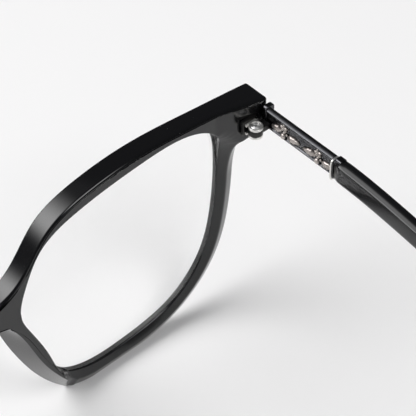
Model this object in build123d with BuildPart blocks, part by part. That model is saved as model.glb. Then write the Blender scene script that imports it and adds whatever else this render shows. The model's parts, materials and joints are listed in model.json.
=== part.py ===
"""Eyeglasses: moulded front, two lenses, and two hinged temples with a decorated metal link.

Millimetres. X runs across the face (+X is the wearer's left), Y runs back along the temples,
Z is up. The right side of the wearer (-X) is modelled and mirrored to make the left side.
Depths are counted from the front plane, y = 0, until the parts are moved at the end, so that
the origin lies under the middle of the whole object.
"""

from build123d import *
from math import cos, pi, sin
import os

# ---- overall sizes -------------------------------------------------------------------------
lens_width = 49.5           # lens opening, across
lens_height = 48.3          # lens opening, top to bottom
bridge_width = 21.4         # between the two lens openings
end_reach = 9.3             # from the lens opening to the outer side of the end piece
temple_length = 141.0       # from the front plane to the rear end of the temple's run

# ---- front ---------------------------------------------------------------------------------
rim_width = 4.35            # lower and side rim, seen from the front
rim_rest = 4.2              # from the floor to the lens opening
brow_height = 2.4           # top bar above the lens opening
bridge_height = 4.2
brow_depth = 4.2            # front to back
rim_depth = 3.0             # front to back at the ridge of the lower rim
inner_bevel = 2.0           # width of the sloping back face beside the lens
outer_bevel = 2.1
inner_bevel_drop = 1.0      # how far the sloping faces fall from the ridge
outer_bevel_drop = 1.2
end_height = 8.4            # end piece, top to bottom
end_growth = 1.8            # how much deeper the end piece is than the brow
end_ramp = 11.5             # length over which the back face deepens to the end piece
end_fillet = 2.6            # under the end piece, where it joins the rim

# ---- lenses --------------------------------------------------------------------------------
lens_thickness = 1.2
lens_setback = 0.65         # front plane to lens front
lens_bite = 0.5             # how far the lens edge enters the groove
lens_gap = 0.05

# ---- nose pads -----------------------------------------------------------------------------
pad_thickness = 0.9
pad_splay = 2.3             # how far the nasal flank leans away from the nose

# ---- hinge ---------------------------------------------------------------------------------
pivot_inset = 4.6           # outer side of the end piece to the hinge axis
barrel_radius = 1.45
barrel_gap = 0.12           # barrel to the hinge plate
barrel_top = 48.9           # height of the barrel's top above the floor
top_eye = 0.6
middle_knuckle = 1.4
bottom_eye = 0.5
knuckle_gap = 0.05
screw_radius = 0.7
screw_gap = 0.05
screw_head_radius = 1.0
screw_head_height = 0.4
screw_slot = 0.26           # width of each arm of the cross recess
screw_recess = 1.25         # across the cross recess
screw_turn = 35             # degrees that the recess is turned to
screw_tail = 0.25
leaf_plate_width = 3.4
leaf_plate_thickness = 0.95
leaf_plate_height = 3.3
seat_sink = 0.15            # how far the plate is let into the end piece
rivet_radius = 0.45
rivet_length = 2.6
rivet_spacing = 1.7

# ---- decorated link ------------------------------------------------------------------------
link_inset = 0.5            # outer side of the end piece to the link's outer face
link_thickness = 1.25
link_height = 4.4
link_top_drop = 0.8         # end piece's top corner to the link's top edge
link_length = 17.6
leaf_arm_front = 1.15       # hinge axis to the front edge of the arm that joins the link
leaf_arm_back = 0.9
collar_length = 1.1
collar_gap = 0.3            # open temple: collar to the end piece
collar_proud = 1.05
rear_collar_length = 1.5
rear_collar_drop = 0.9
band_length = 0.5
band_inset = 0.12

# ---- ornament on the link ------------------------------------------------------------------
motif_pitch = 9.0
motif_gap = 4.80            # front collar to the first flower
relief = 0.55
petal_radius = 0.52
petal_ring = 0.62
petal_count = 5
flower_drop = 1.55          # link's top edge to the flower's centre
bead_radius = 0.66
bead_drop = 3.75
leaf_width = 1.25
leaf_drop = 3.1
# Front and rear end of each leaf, behind the first flower.
leaf_spans = [(-2.6, -0.6), (0.85, 4.1), (motif_pitch - 3.8, motif_pitch - 0.6),
              (motif_pitch + 0.6, motif_pitch + 3.35)]

# ---- temple arm ----------------------------------------------------------------------------
arm_start_gap = 0.1
arm_thickness = 2.6
arm_height = 4.7
tip_thickness = 3.0
arm_slim = 0.35             # how much lower the arm is at its middle
tip_height = 6.6
arm_inward = 7.6            # how far the tips lie inboard of the arm's start
core_radius = 0.75
core_gap = 0.05
core_end_share = 0.86

# ---- places worked out from the sizes above ------------------------------------------------
half_bridge = bridge_width / 2
half_width = half_bridge + lens_width + end_reach
end_depth = brow_depth + end_growth
pivot_x = half_width - pivot_inset

# Seen from behind the front, local x of this plane points to the wearer's right (-X).
front_plane = Plane(origin=(0, 0, 0), x_dir=(-1, 0, 0), z_dir=(0, 1, 0))


def spot(across, up):
    """Point of the front, as shares of the lens opening's width and height."""
    return (half_bridge + across * lens_width, rim_rest + up * lens_height)


def brow_spot(across, up):
    """The same, raised by the height of the top bar."""
    x, z = spot(across, up)
    return (x, z + brow_height)


opening_points = [
    spot(0.000, 0.598), spot(0.038, 0.747), spot(0.123, 0.886), spot(0.299, 0.961),
    spot(0.592, 1.000), spot(0.844, 0.981), spot(0.962, 0.896), spot(1.000, 0.714),
    spot(0.984, 0.445), spot(0.915, 0.205), spot(0.754, 0.050), spot(0.511, 0.000),
    spot(0.289, 0.019), spot(0.196, 0.075), spot(0.103, 0.294), spot(0.028, 0.499),
]
bridge_top = brow_spot(0, 0.656)[1]
end_top = brow_spot(1, 0.936)[1]
end_bottom = end_top - end_height
link_top = end_top - link_top_drop
rim_corner = spot(0.214, -0.083)      # lowest point of the nasal side
link_outer = half_width - link_inset
link_inner = link_outer - link_thickness

with BuildLine() as opening_line:
    opening_curve = Spline(opening_points, periodic=True)

outline_point_count = 44         # enough for a smooth curve beside the opening


def beside_opening(distance):
    """Sketch of the lens opening, grown on all sides by a distance."""
    points = []
    for index in range(outline_point_count):
        share = index / outline_point_count
        ahead = opening_curve.tangent_at(share)
        points.append(opening_curve.position_at(share) + Vector(-ahead.Y, ahead.X) * distance)
    with BuildSketch(front_plane) as grown:
        with BuildLine():
            Spline(points, periodic=True)
        make_face()
    return grown


opening = beside_opening(0)
lens_shape = beside_opening(lens_bite)
groove_shape = beside_opening(lens_bite + lens_gap)
rim_disc = beside_opening(rim_width)

# Outline of half the front: the rim's disc, the bridge and the end piece under the brow line.
with BuildSketch(front_plane) as blank:
    with BuildLine():
        brow = Spline(
            [(0, bridge_top), brow_spot(-0.010, 0.716), brow_spot(0.150, 0.898),
             brow_spot(0.350, 0.977), brow_spot(0.592, 0.998), brow_spot(0.895, 0.971),
             (half_width, end_top)],
            tangents=[(1, 0), (1, -0.13)],
        )
        Line(brow @ 1, (half_width, end_bottom))
        Line((half_width, end_bottom), spot(0.97, 0.80))
        Line(spot(0.97, 0.80), spot(0.10, 0.50))
        Line(spot(0.10, 0.50), spot(-0.052, 0.465))
        Spline(
            [spot(-0.052, 0.465), (half_bridge * 0.62, bridge_top - bridge_height - 1.5),
             (0, bridge_top - bridge_height)],
            tangents=[(-0.2, 1), (-1, 0)],
        )
        Line((0, bridge_top - bridge_height), (0, bridge_top))
    make_face()
    add(rim_disc.sketch_local)
    # The disc is filled out to the pointed corner under the nose pad.
    with BuildLine():
        Polyline(spot(0.100, 0.090), rim_corner, spot(0.330, -rim_rest / lens_height), spot(0.30, 0.05),
                 spot(0.14, 0.20), close=True)
    make_face()
    # Nothing of the rim's disc stands above the brow line, past the middle or under the floor.
    with BuildSketch(mode=Mode.PRIVATE) as limit:
        with BuildLine():
            add(brow)
            Line(brow @ 1, (half_width, 0))
            Line((half_width, 0), (0, 0))
            Line((0, 0), (0, bridge_top))
        make_face()
    add(limit.sketch_local, mode=Mode.INTERSECT)
    add(opening.sketch_local, mode=Mode.SUBTRACT)
    under_end = blank.vertices().sort_by_distance((half_width - end_reach * 0.56, end_bottom, 0))[0]
    fillet(under_end, radius=end_fillet)

# The brow, the end piece and the nasal side are deep; the lower and side rim is shallow.
with BuildSketch(front_plane) as deep_side:
    with BuildLine():
        Polyline(
            (0, 0), spot(0.220, -0.1), spot(0.235, 0.07), spot(0.80, 0.72),
            (half_width, end_bottom - 2.0), (half_width + 1, end_top + 20), (0, end_top + 20),
            close=True,
        )
    make_face()
    add(blank.sketch_local, mode=Mode.INTERSECT)

# ---- nasal flank: curves at the front plane and at the back of the brow ----------------------
flank_front = [spot(-0.075, 0.560), spot(-0.050, 0.455), spot(0.012, 0.273), spot(0.111, 0.062), rim_corner]
flank_back = [(x + pad_splay * share, z + pad_splay * 0.4 * share)
              for (x, z), share in zip(flank_front, (0.5, 1.0, 1.05))]
flank_back += [spot(0.123, 0.158), spot(0.174, 0.072)]


def beside(points, distance):
    """Points moved towards the lens, by nothing at the two ends."""
    shares = (0.0, 0.75, 1.0, 0.85, 0.0)
    return [(x + distance * share, z) for (x, z), share in zip(points, shares)]


def flank_region(plane, points):
    """Everything on the nose's side of a flank curve."""
    with BuildSketch(plane) as region:
        with BuildLine():
            curve = Spline(points)
            Polyline(curve @ 1, spot(0.45, -0.25), spot(0.05, -0.4), (0.5, 0), (0.5, points[0][1]), curve @ 0)
        make_face()
    return region.sketch


def pad_section(plane, points):
    """Crescent between a flank curve and the same curve moved towards the lens."""
    with BuildSketch(plane) as section:
        with BuildLine():
            Spline(points)
            Spline(beside(points, pad_thickness))
        make_face()
    return section.sketch


back_of_pad = front_plane.offset(brow_depth)

with BuildPart() as flank_tool:
    loft([flank_region(front_plane, beside(flank_front, pad_thickness)),
          flank_region(back_of_pad, beside(flank_back, pad_thickness))], ruled=True)

with BuildPart() as nose_pad:
    loft([pad_section(front_plane, flank_front), pad_section(back_of_pad, flank_back)], ruled=True)

# ---- hinge: plates and barrel ----------------------------------------------------------------
seat_back = brow_depth + end_growth * (1 - pivot_inset / end_ramp) - seat_sink
plate_back = seat_back + leaf_plate_thickness
pivot_back = plate_back + barrel_radius + barrel_gap
barrel_bottom = barrel_top - top_eye - middle_knuckle - bottom_eye
barrel_middle = (barrel_top + barrel_bottom) / 2
rivet_spots = [(-pivot_x, barrel_middle - rivet_spacing / 2), (-pivot_x, barrel_middle + rivet_spacing / 2)]

with BuildPart() as front_half:
    # Lower and side rim, with a ridge between two sloping back faces.
    with BuildSketch(front_plane):
        add(rim_disc.sketch_local)
        add(opening.sketch_local, mode=Mode.SUBTRACT)
    extrude(amount=rim_depth)
    rim_back = front_half.faces().sort_by(Axis.Y)[-1]
    lens_side = rim_back.inner_wires()[0].edges()
    chamfer(lens_side, length=inner_bevel, length2=inner_bevel_drop, reference=rim_back)
    rim_back = front_half.faces().sort_by(Axis.Y)[-1]
    chamfer(rim_back.outer_wire().edges(), length=outer_bevel, length2=outer_bevel_drop, reference=rim_back)
    extrude(to_extrude=blank.sketch, amount=rim_depth, mode=Mode.INTERSECT)
    extrude(to_extrude=blank.sketch, amount=rim_depth - outer_bevel_drop)
    # Brow, bridge, nasal side and end piece.
    extrude(to_extrude=deep_side.sketch, amount=end_depth)
    with BuildSketch(Plane.XY.offset(-1)):
        with BuildLine():
            Polyline(
                (1, brow_depth), (-(half_width - end_ramp), brow_depth), (-half_width, end_depth),
                (-half_width, 2 * end_depth), (1, 2 * end_depth), close=True,
            )
        make_face()
    extrude(amount=end_top + 20, mode=Mode.SUBTRACT)
    # Lens groove, pad bed, hinge seat and rivet holes.
    extrude(to_extrude=groove_shape.sketch.moved(Location((0, lens_setback - lens_gap, 0))),
            amount=lens_thickness + 2 * lens_gap, mode=Mode.SUBTRACT)
    add(flank_tool.part, mode=Mode.SUBTRACT)
    with BuildSketch(front_plane.offset(seat_back)):
        with Locations((pivot_x, barrel_middle)):
            Rectangle(leaf_plate_width, leaf_plate_height)
    extrude(amount=end_depth, mode=Mode.SUBTRACT)
    with BuildSketch(front_plane.offset(seat_back - rivet_length + leaf_plate_thickness)):
        with Locations(*[(-x, z) for x, z in rivet_spots]):
            Circle(rivet_radius)
    extrude(amount=rivet_length, mode=Mode.SUBTRACT)

with BuildPart() as front:
    add(front_half.part)
    mirror(front_half.part, about=Plane.YZ)

# ---- lens: a flat blank with a bevelled edge that seats in the groove -------------------------
with BuildPart() as lens:
    extrude(to_extrude=lens_shape.sketch.moved(Location((0, lens_setback, 0))), amount=lens_thickness)
    lens_faces = lens.faces().sort_by(Axis.Y)
    chamfer(lens_faces[0].edges() + lens_faces[-1].edges(), length=lens_thickness * 0.4)

# ---- hinge -------------------------------------------------------------------------------------
# The eyes and the knuckle are rings about the pivot; each eye runs forward into the plate.
eye_levels = [(barrel_top - top_eye, top_eye), (barrel_bottom, bottom_eye)]

with BuildPart() as front_leaf:
    with BuildSketch(front_plane.offset(seat_back)):
        with Locations((pivot_x, barrel_middle)):
            Rectangle(leaf_plate_width, leaf_plate_height)
    extrude(amount=leaf_plate_thickness)
    fillet(front_leaf.edges().filter_by(Axis.Y), radius=0.4)
    for level, thickness in eye_levels:
        with BuildSketch(Plane.XY.offset(level)):
            with Locations((-pivot_x, pivot_back)):
                Circle(barrel_radius)
            with Locations((-pivot_x, (pivot_back + plate_back) / 2)):
                Rectangle(2 * barrel_radius, pivot_back - plate_back)
        extrude(amount=thickness)
    with Locations((-pivot_x, pivot_back, barrel_top)):
        CounterBoreHole(
            radius=screw_radius + screw_gap / 2, depth=barrel_top - barrel_bottom,
            counter_bore_radius=screw_head_radius + screw_gap, counter_bore_depth=screw_head_height,
        )
    with BuildSketch(front_plane.offset(seat_back)):
        with Locations(*[(-x, z) for x, z in rivet_spots]):
            Circle(rivet_radius)
    extrude(amount=leaf_plate_thickness, mode=Mode.SUBTRACT)

with BuildPart() as leaf_rivets:
    with BuildSketch(front_plane.offset(plate_back - rivet_length)):
        with Locations(*[(-x, z) for x, z in rivet_spots]):
            Circle(rivet_radius)
    extrude(amount=rivet_length)

with BuildPart() as hinge_screw:
    with BuildSketch(Plane.XY.offset(barrel_bottom - screw_tail)):
        with Locations((-pivot_x, pivot_back)):
            Circle(screw_radius)
    extrude(amount=barrel_top - screw_head_height - barrel_bottom + screw_tail)
    with BuildSketch(Plane.XY.offset(barrel_top - screw_head_height)):
        with Locations((-pivot_x, pivot_back)):
            Circle(screw_head_radius)
    extrude(amount=screw_head_height)
    fillet(hinge_screw.edges().filter_by(GeomType.CIRCLE).sort_by(Axis.Z)[-1], radius=screw_head_height * 0.3)
    with BuildSketch(Plane.XY.offset(barrel_top)):
        for turn in (screw_turn, screw_turn + 90):
            with Locations(Location((-pivot_x, pivot_back, 0), turn)):
                SlotOverall(screw_recess, screw_slot)
    extrude(amount=-screw_head_height / 2, mode=Mode.SUBTRACT)
    chamfer(hinge_screw.edges().filter_by(GeomType.CIRCLE).sort_by(Axis.Z)[0], length=screw_tail * 0.6)

knuckle_level = barrel_bottom + bottom_eye + knuckle_gap
knuckle_height = middle_knuckle - 2 * knuckle_gap

with BuildPart() as temple_leaf:
    with BuildSketch(Plane.XY.offset(knuckle_level)):
        with Locations((-pivot_x, pivot_back)):
            Circle(barrel_radius)
        with BuildLine():
            Polyline(
                (-pivot_x, pivot_back + leaf_arm_back), (-link_inner, pivot_back + leaf_arm_back),
                (-link_inner, pivot_back - leaf_arm_front), (-pivot_x, pivot_back - leaf_arm_front),
                close=True,
            )
        make_face()
        with Locations((-pivot_x, pivot_back)):
            Circle(screw_radius + screw_gap, mode=Mode.SUBTRACT)
    extrude(amount=knuckle_height)

# ---- decorated link and its collars ------------------------------------------------------------
link_middle = (link_outer + link_inner) / 2
link_bottom = link_top - link_height
collar_start = end_depth + collar_gap
collar_end = collar_start + collar_length
first_motif = collar_end + motif_gap
link_end = collar_end + link_length
rear_collar_start = link_end
rear_collar_end = rear_collar_start + rear_collar_length
band_start = rear_collar_end
arm_start = band_start + band_length + arm_start_gap
sleeve_middle = link_middle - 0.1


def sleeve(start, length, inner, outer, top, bottom, round_radius):
    """Rounded block around the link, from start to start + length behind the front plane."""
    with BuildPart() as block:
        with BuildSketch(front_plane.offset(start)):
            with Locations(((inner + outer) / 2, (top + bottom) / 2)):
                RectangleRounded(outer - inner, top - bottom, round_radius)
        extrude(amount=length)
    return block.part


with BuildPart() as link_plate:
    with BuildSketch(front_plane.offset(collar_end)):
        with Locations((link_middle, (link_top + link_bottom) / 2)):
            Rectangle(link_thickness, link_height)
    extrude(amount=link_end - collar_end)
    fillet(link_plate.edges().filter_by(Axis.Y), radius=0.3)

arm_inner = sleeve_middle - arm_thickness / 2
arm_outer = sleeve_middle + arm_thickness / 2

with BuildPart() as front_collar:
    add(sleeve(collar_start, collar_length, link_inner, link_outer + collar_proud,
               link_top + 0.25, link_bottom - 0.35, 0.7))
    fillet(front_collar.edges().filter_by(Plane.XZ), radius=0.25)

with BuildPart() as rear_collar:
    add(sleeve(rear_collar_start, rear_collar_length, arm_inner, arm_outer,
               link_top + 0.15, link_bottom - rear_collar_drop, 0.8))
    fillet(rear_collar.edges().filter_by(Plane.XZ), radius=0.2)

with BuildPart() as collar_band:
    add(sleeve(band_start, band_length + arm_start_gap, arm_inner + band_inset, arm_outer - band_inset,
               link_top, link_bottom - rear_collar_drop / 2, 0.7))

# ---- ornament: two flowers, each with a bead under it and a leaf on either side ------------------
motif_places = [first_motif + index * motif_pitch for index in range(2)]


def face_plane(side):
    """Plane on one face of the link: local x runs back along the temple, local y is up."""
    if side == "inner":
        return Plane(origin=(-link_inner, 0, 0), x_dir=(0, 1, 0), z_dir=(1, 0, 0))
    return Plane(origin=(-link_outer, 0, 0), x_dir=(0, -1, 0), z_dir=(-1, 0, 0))


def along(side, depth):
    return depth if side == "inner" else -depth


sides = ("inner", "outer")

with BuildPart() as ornament_flowers:
    for side in sides:
        with BuildSketch(face_plane(side)):
            for depth in motif_places:
                with Locations((along(side, depth), link_top - flower_drop)):
                    with PolarLocations(petal_ring, petal_count, start_angle=90):
                        Circle(petal_radius)
                    Circle(petal_ring)
        extrude(amount=relief * 0.8)

with BuildPart() as ornament_beads:
    for side in sides:
        with BuildSketch(face_plane(side)):
            for depth in motif_places:
                with Locations((along(side, depth), link_top - bead_drop)):
                    Circle(bead_radius)
        extrude(amount=relief)
    fillet(ornament_beads.edges().filter_by(GeomType.CIRCLE).group_by(Axis.X)[0], radius=relief * 0.6)
    fillet(ornament_beads.edges().filter_by(GeomType.CIRCLE).group_by(Axis.X)[-1], radius=relief * 0.6)

with BuildPart() as ornament_leaves:
    for side in sides:
        with BuildSketch(face_plane(side)):
            for front_end, rear_end in leaf_spans:
                level = link_top - leaf_drop
                start = (along(side, first_motif + front_end), level)
                end = (along(side, first_motif + rear_end), level)
                middle = (start[0] + end[0]) / 2
                with BuildLine():
                    ThreePointArc(start, (middle, level + leaf_width / 2), end)
                    ThreePointArc(end, (middle, level - leaf_width / 2), start)
                make_face()
        extrude(amount=relief * 0.7)

# ---- temple arm: sections along a centre line that runs straight, then drops behind the ear ------
arm_length = temple_length - arm_start
arm_middle_top = link_top - arm_height / 2
tip_middle = tip_height * 0.2
# Centre line, as shares of the arm's run back, its drop and its inward lean.
arm_route = [(0.00, 0.000, 0.00), (0.20, 0.012, 0.16), (0.40, 0.050, 0.35), (0.54, 0.125, 0.49),
             (0.65, 0.255, 0.60), (0.75, 0.440, 0.72), (0.85, 0.675, 0.84), (0.97, 1.000, 0.97)]
arm_section_count = 15


def arm_point(run, drop, lean):
    """Point of the temple's centre line, on the right side."""
    return (-(sleeve_middle - arm_inward * lean), arm_start + arm_length * run,
            arm_middle_top - (arm_middle_top - tip_middle) * drop)


with BuildLine() as arm_line:
    arm_curve = Spline([arm_point(*stop) for stop in arm_route], tangents=[(0, 1, 0), (0.06, 0.62, -0.78)])


def across_arm(share_of_line):
    """Plane across the arm's centre line, with local y as near up as it can be."""
    forward = arm_curve.tangent_at(share_of_line)
    inward = forward.cross(Vector(0, 0, 1))
    return Plane(origin=arm_curve.position_at(share_of_line), x_dir=inward, z_dir=forward)


def arm_section(share_of_line):
    """The arm's section, which grows smoothly into the flat paddle of the ear tip."""
    growth = 0.5 - 0.5 * cos(pi * min(max((share_of_line - 0.45) / 0.4, 0), 1))
    thickness = arm_thickness + (tip_thickness - arm_thickness) * growth
    height = arm_height + (tip_height - arm_height) * growth - arm_slim * sin(pi * share_of_line)
    with BuildSketch(across_arm(share_of_line)) as section:
        RectangleRounded(thickness, height, thickness * 0.36)
    return section.sketch


arm_sections = [arm_section(index / (arm_section_count - 1)) for index in range(arm_section_count)]

core_line = arm_curve.trim(0.0, core_end_share)
core_hole_line = arm_curve.trim(0.0, core_end_share + 0.005)

with BuildPart() as core_wire:
    with BuildSketch(across_arm(0)):
        Circle(core_radius)
    sweep(path=core_line)

with BuildPart() as core_hole:
    with BuildSketch(across_arm(0)):
        Circle(core_radius + core_gap)
    sweep(path=core_hole_line)

with BuildPart() as temple_arm:
    loft(arm_sections)
    tip_end = temple_arm.faces().sort_by(Axis.Z)[0]
    fillet(tip_end.edges(), radius=tip_thickness * 0.3)
    add(core_hole.part, mode=Mode.SUBTRACT)
    split(bisect_by=Plane.XY, keep=Keep.TOP)

# ---- both sides, moved so that the origin lies under the middle, and written ---------------------
right_parts = {
    "lens": lens, "nose_pad": nose_pad, "hinge_front_leaf": front_leaf, "hinge_rivets": leaf_rivets,
    "hinge_screw": hinge_screw, "hinge_temple_leaf": temple_leaf, "link_plate": link_plate,
    "front_collar": front_collar, "rear_collar": rear_collar, "collar_band": collar_band,
    "ornament_flowers": ornament_flowers, "ornament_beads": ornament_beads,
    "ornament_leaves": ornament_leaves, "temple_arm": temple_arm, "core_wire": core_wire,
}
overall_depth = temple_arm.part.bounding_box().max.Y
to_middle = Location((0, -overall_depth / 2, 0))
os.makedirs("parts", exist_ok=True)


def write(piece, name):
    placed = piece.moved(to_middle)
    placed.label = name
    export_step(placed, "parts/" + name + ".step")


write(front.part, "front")
for name, right in right_parts.items():
    with BuildPart() as left:
        mirror(right.part, about=Plane.YZ)
    write(right.part, name + "_right")
    write(left.part, name + "_left")

print("pivot", pivot_x, pivot_back - overall_depth / 2, "depth", overall_depth)
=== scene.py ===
import json
import math

import bmesh
import bpy
import numpy as np
from mathutils import Matrix, Vector


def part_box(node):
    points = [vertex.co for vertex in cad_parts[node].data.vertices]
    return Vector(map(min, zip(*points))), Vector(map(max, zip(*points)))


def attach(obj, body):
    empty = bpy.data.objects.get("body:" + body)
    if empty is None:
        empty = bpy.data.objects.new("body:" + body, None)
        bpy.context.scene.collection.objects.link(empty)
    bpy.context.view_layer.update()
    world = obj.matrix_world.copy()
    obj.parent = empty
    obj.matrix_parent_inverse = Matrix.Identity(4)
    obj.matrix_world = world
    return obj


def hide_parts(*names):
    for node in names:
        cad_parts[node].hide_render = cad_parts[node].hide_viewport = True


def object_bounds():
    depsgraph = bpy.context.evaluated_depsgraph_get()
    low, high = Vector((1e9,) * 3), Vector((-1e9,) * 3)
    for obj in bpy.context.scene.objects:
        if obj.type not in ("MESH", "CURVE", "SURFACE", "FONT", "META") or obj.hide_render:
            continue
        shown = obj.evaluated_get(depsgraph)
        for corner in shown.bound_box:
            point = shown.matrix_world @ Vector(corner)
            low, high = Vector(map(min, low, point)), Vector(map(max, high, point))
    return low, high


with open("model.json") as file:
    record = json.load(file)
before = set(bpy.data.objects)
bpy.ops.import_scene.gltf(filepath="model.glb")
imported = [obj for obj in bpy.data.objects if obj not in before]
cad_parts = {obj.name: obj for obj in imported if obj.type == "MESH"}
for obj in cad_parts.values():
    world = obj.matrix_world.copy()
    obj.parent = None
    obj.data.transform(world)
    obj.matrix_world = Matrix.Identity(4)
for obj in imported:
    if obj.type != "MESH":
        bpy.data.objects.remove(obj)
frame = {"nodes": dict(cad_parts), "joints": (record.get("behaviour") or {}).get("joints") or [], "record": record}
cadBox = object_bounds()
print("frame loaded:", len(frame["nodes"]), "nodes")

mm = 0.001
sides = ("right", "left")
joints = {joint["name"]: joint for joint in frame["joints"]}
hingeRight = Vector(joints["fold_right"]["pos_m"])

view = {
    "azimuth": 137.8,            # degrees round the object, 0 looks along +Y
    "elevation": 46.0,
    "distance": 0.300,
    "lens": 144.1,
    "fromHinge": (0.01996, 0.00867, -0.00052),   # what the camera looks at, from the right hinge
}


def makeCamera():
    data = bpy.data.cameras.new("camera")
    data.lens = view["lens"]
    data.sensor_width = 36.0
    data.clip_start = 0.01
    data.clip_end = 20.0
    camera = bpy.data.objects.new("camera", data)
    bpy.context.scene.collection.objects.link(camera)
    azimuth = math.radians(view["azimuth"])
    elevation = math.radians(view["elevation"])
    back = Vector((math.sin(azimuth) * math.cos(elevation),
                   -math.cos(azimuth) * math.cos(elevation),
                   math.sin(elevation)))
    camera.rotation_mode = "QUATERNION"
    camera.location = hingeRight + Vector(view["fromHinge"]) + back * view["distance"]
    camera.rotation_quaternion = (-back).to_track_quat("-Z", "Y")
    bpy.context.scene.camera = camera
    return camera


studio = {
    "floorSize": 6.0,
    "floorColor": (0.93, 0.925, 0.925, 1.0),
    "worldColor": (0.80, 0.83, 0.88, 1.0),
    "worldStrength": 0.06,
    "horizonColor": (0.80, 0.81, 0.83, 1.0),
    # name: (direction, distance, width, height, watts, share that fades)
    "softboxes": {
        "behind": ((-0.10, 0.66, 1.0), 2.2, 1.5, 1.5, 38.0, 0.5),
        "front": ((0.50, -0.46, 0.72), 2.2, 3.0, 2.9, 188.0, 1.0),
    },
}


def makeSoftbox(name, direction, distance, width, height, watts, fade):
    data = bpy.data.lights.new(name, "AREA")
    data.shape = "RECTANGLE"
    data.size = width
    data.size_y = height
    data.energy = watts
    data.use_nodes = True
    tree = data.node_tree
    emission = tree.nodes["Emission"]
    place = tree.nodes.new("ShaderNodeNewGeometry")
    middle = tree.nodes.new("ShaderNodeVectorMath")
    middle.operation = "DISTANCE"
    middle.inputs[1].default_value = (0.5, 0.5, 0.0)
    falloff = tree.nodes.new("ShaderNodeMapRange")
    falloff.interpolation_type = "SMOOTHSTEP"
    falloff.inputs["From Min"].default_value = 0.5 - 0.45 * fade
    falloff.inputs["From Max"].default_value = 0.5
    falloff.inputs["To Min"].default_value = 1.0
    falloff.inputs["To Max"].default_value = 0.02
    tree.links.new(place.outputs["Parametric"], middle.inputs[0])
    tree.links.new(middle.outputs["Value"], falloff.inputs["Value"])
    tree.links.new(falloff.outputs["Result"], emission.inputs["Strength"])
    lamp = bpy.data.objects.new(name, data)
    lamp.location = Vector(direction).normalized() * distance
    lamp.rotation_mode = "QUATERNION"
    lamp.rotation_quaternion = (-Vector(direction)).to_track_quat("-Z", "Y")
    bpy.context.scene.collection.objects.link(lamp)


def makeStudio():
    mesh = bpy.data.meshes.new("floor")
    half = studio["floorSize"] / 2
    corners = [(-half, -half, 0), (half, -half, 0), (half, half, 0), (-half, half, 0)]
    mesh.from_pydata(corners, [], [(0, 1, 2, 3)])
    floor = bpy.data.objects.new("floor", mesh)
    floor.location.z = cadBox[0].z
    bpy.context.scene.collection.objects.link(floor)
    for name, settings in studio["softboxes"].items():
        makeSoftbox(name, *settings)
    world = bpy.data.worlds.new("studioWorld")
    bpy.context.scene.world = world
    world.use_nodes = True
    tree = world.node_tree
    dim = tree.nodes["Background"]
    dim.inputs["Color"].default_value = studio["worldColor"]
    dim.inputs["Strength"].default_value = studio["worldStrength"]
    horizon = tree.nodes.new("ShaderNodeBackground")
    horizon.inputs["Color"].default_value = studio["horizonColor"]
    seen = tree.nodes.new("ShaderNodeLightPath")
    mix = tree.nodes.new("ShaderNodeMixShader")
    tree.links.new(seen.outputs["Is Camera Ray"], mix.inputs[0])
    tree.links.new(dim.outputs["Background"], mix.inputs[1])
    tree.links.new(horizon.outputs["Background"], mix.inputs[2])
    tree.links.new(mix.outputs["Shader"], tree.nodes["World Output"].inputs["Surface"])
    bpy.context.scene.view_settings.view_transform = "Standard"
    return floor


makeCamera()
floor = makeStudio()
print("camera, floor and light ready")


# the glasses are worked out in millimetres: across from the middle, depth behind the front, height
frontLow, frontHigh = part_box("front")
lensLow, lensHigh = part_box("lens_right")

frontSizes = {
    "rimWidth": 4.35,            # lower and side rim, seen from the front
    "browHeight": 2.4,
    "browDepth": 4.2,
    "endHeight": 8.4,            # end piece, top to bottom
    "endRamp": 11.5,             # length over which the back deepens at the end piece
    "bridgeHeight": 4.2,
    "innerEdgeDepth": 2.0,       # the sloping back of the rim, beside the lens
    "outerEdgeDepth": 1.8,
    "innerSlope": 0.5,
    "outerSlope": 0.42,
    "rampLength": 10.3,          # below the end piece, where the rim starts to swell
    "innerRamp": 0.0105,
    "outerRamp": 0.019,
    "ridgeRound": 0.12,
    "padThickness": 0.9,
    "padSplay": 2.3,
    "lensBite": 0.5,             # how far the lens enters its groove
    "grooveDepth": 0.40,
    "grooveFront": 0.60,
    "grooveBack": 1.90,
    "backEdgeRoom": 0.75,        # from the rounded outer back edge to the next line
    "step": 0.7,                 # between two cross sections
}
# the lens opening as shares of its width and height: up beside the nose, over the top and round
openingShape = [
    (0.000, 0.598), (0.038, 0.747), (0.123, 0.886), (0.299, 0.961), (0.592, 1.000), (0.844, 0.981),
    (0.962, 0.896), (1.000, 0.714), (0.984, 0.445), (0.915, 0.205), (0.754, 0.050), (0.511, 0.000),
    (0.289, 0.019), (0.196, 0.075), (0.103, 0.294), (0.028, 0.499),
]


def fitSpline(points, closed=False, ends=None):
    # smooth curve through the points, which stand at 0, 1, 2 ... along it
    knots = np.array(points, float)
    count = len(knots)
    spans = count if closed else count - 1
    length = [np.linalg.norm(knots[(i + 1) % count] - knots[i]) for i in range(spans)]
    matrix = np.zeros((count, count))
    right = np.zeros_like(knots)
    for i in range(count):
        if not closed and i in (0, count - 1):
            matrix[i, i] = 1
            right[i] = np.array(ends[0 if i == 0 else 1], float) / np.linalg.norm(ends[0 if i == 0 else 1])
            continue
        before, after = length[i - 1], length[i % spans]
        matrix[i, i - 1] = after
        matrix[i, i] = 2 * (before + after)
        matrix[i, (i + 1) % count] = before
        ahead = (knots[(i + 1) % count] - knots[i]) / after
        behind = (knots[i] - knots[i - 1]) / before
        right[i] = 3 * (after * behind + before * ahead)
    slopes = np.linalg.solve(matrix, right)

    def at(place):
        i = int(np.floor(place)) % spans if closed else min(int(place), spans - 1)
        s = place - np.floor(place) if closed else place - i
        j = (i + 1) % count
        return ((2 * s**3 - 3 * s**2 + 1) * knots[i] + (s**3 - 2 * s**2 + s) * length[i] * slopes[i]
                + (3 * s**2 - 2 * s**3) * knots[j] + (s**3 - s**2) * length[i] * slopes[j])
    return at


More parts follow.
